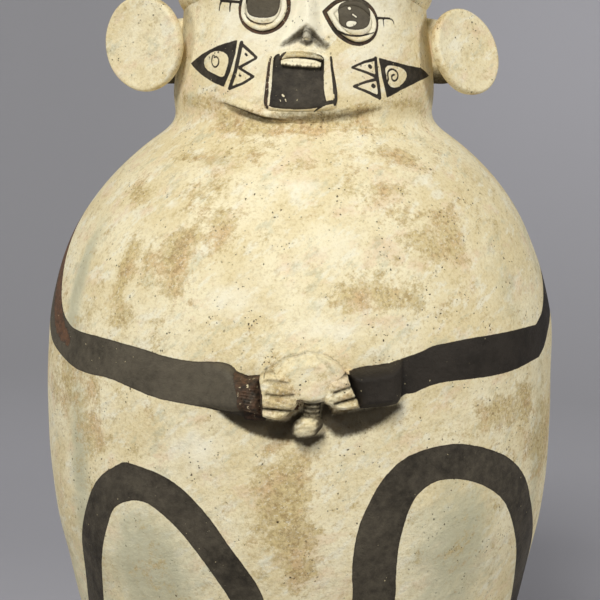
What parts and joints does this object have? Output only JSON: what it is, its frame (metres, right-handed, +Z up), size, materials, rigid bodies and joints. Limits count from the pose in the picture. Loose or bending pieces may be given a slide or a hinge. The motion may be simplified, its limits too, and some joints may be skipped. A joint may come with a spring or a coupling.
{
  "type": "effigy vessel",
  "caption": "Tall clay figure jar with a face and ear discs on its neck, hands clasping a small bulb at the waist, and an open rim for filling.",
  "frame": {"origin": "centre of the flat face that the jar stands on", "axes": "+Z up the jar's axis to the rim; the figure looks along -Y; +X is on the right of a viewer who faces it"},
  "size_m": [0.284, 0.2973, 0.5103],
  "materials": {
    "cream_slip": "matte cream slip, stained tan in places",
    "dark_slip": "matte brown-black slip, chipped in places",
    "bare_clay": "matte unslipped clay"
  },
  "bodies": {
    "root": {"base_disc": "bare_clay", "lower_body": "cream_slip", "upper_body": "cream_slip", "head_neck": "cream_slip", "rim_collar": "cream_slip", "headband": "cream_slip", "jaw_roll": "cream_slip", "mouth_panel": "dark_slip", "teeth_strip": "cream_slip", "upper_lip": "dark_slip", "nose": "cream_slip", "left_eye_rim": "cream_slip", "left_eyeball": "dark_slip", "right_eye_rim": "cream_slip", "right_eyeball": "dark_slip", "left_ear_lug": "cream_slip", "left_ear_disc": "cream_slip", "right_ear_lug": "cream_slip", "right_ear_disc": "cream_slip", "left_forearm": "dark_slip", "left_hand": "cream_slip", "right_forearm": "dark_slip", "right_hand": "cream_slip", "clasped_boss": "cream_slip", "boss_stem": "cream_slip", "boss_bulb": "cream_slip", "left_foot": "cream_slip", "right_foot": "cream_slip"}
  },
  "joints": []
}
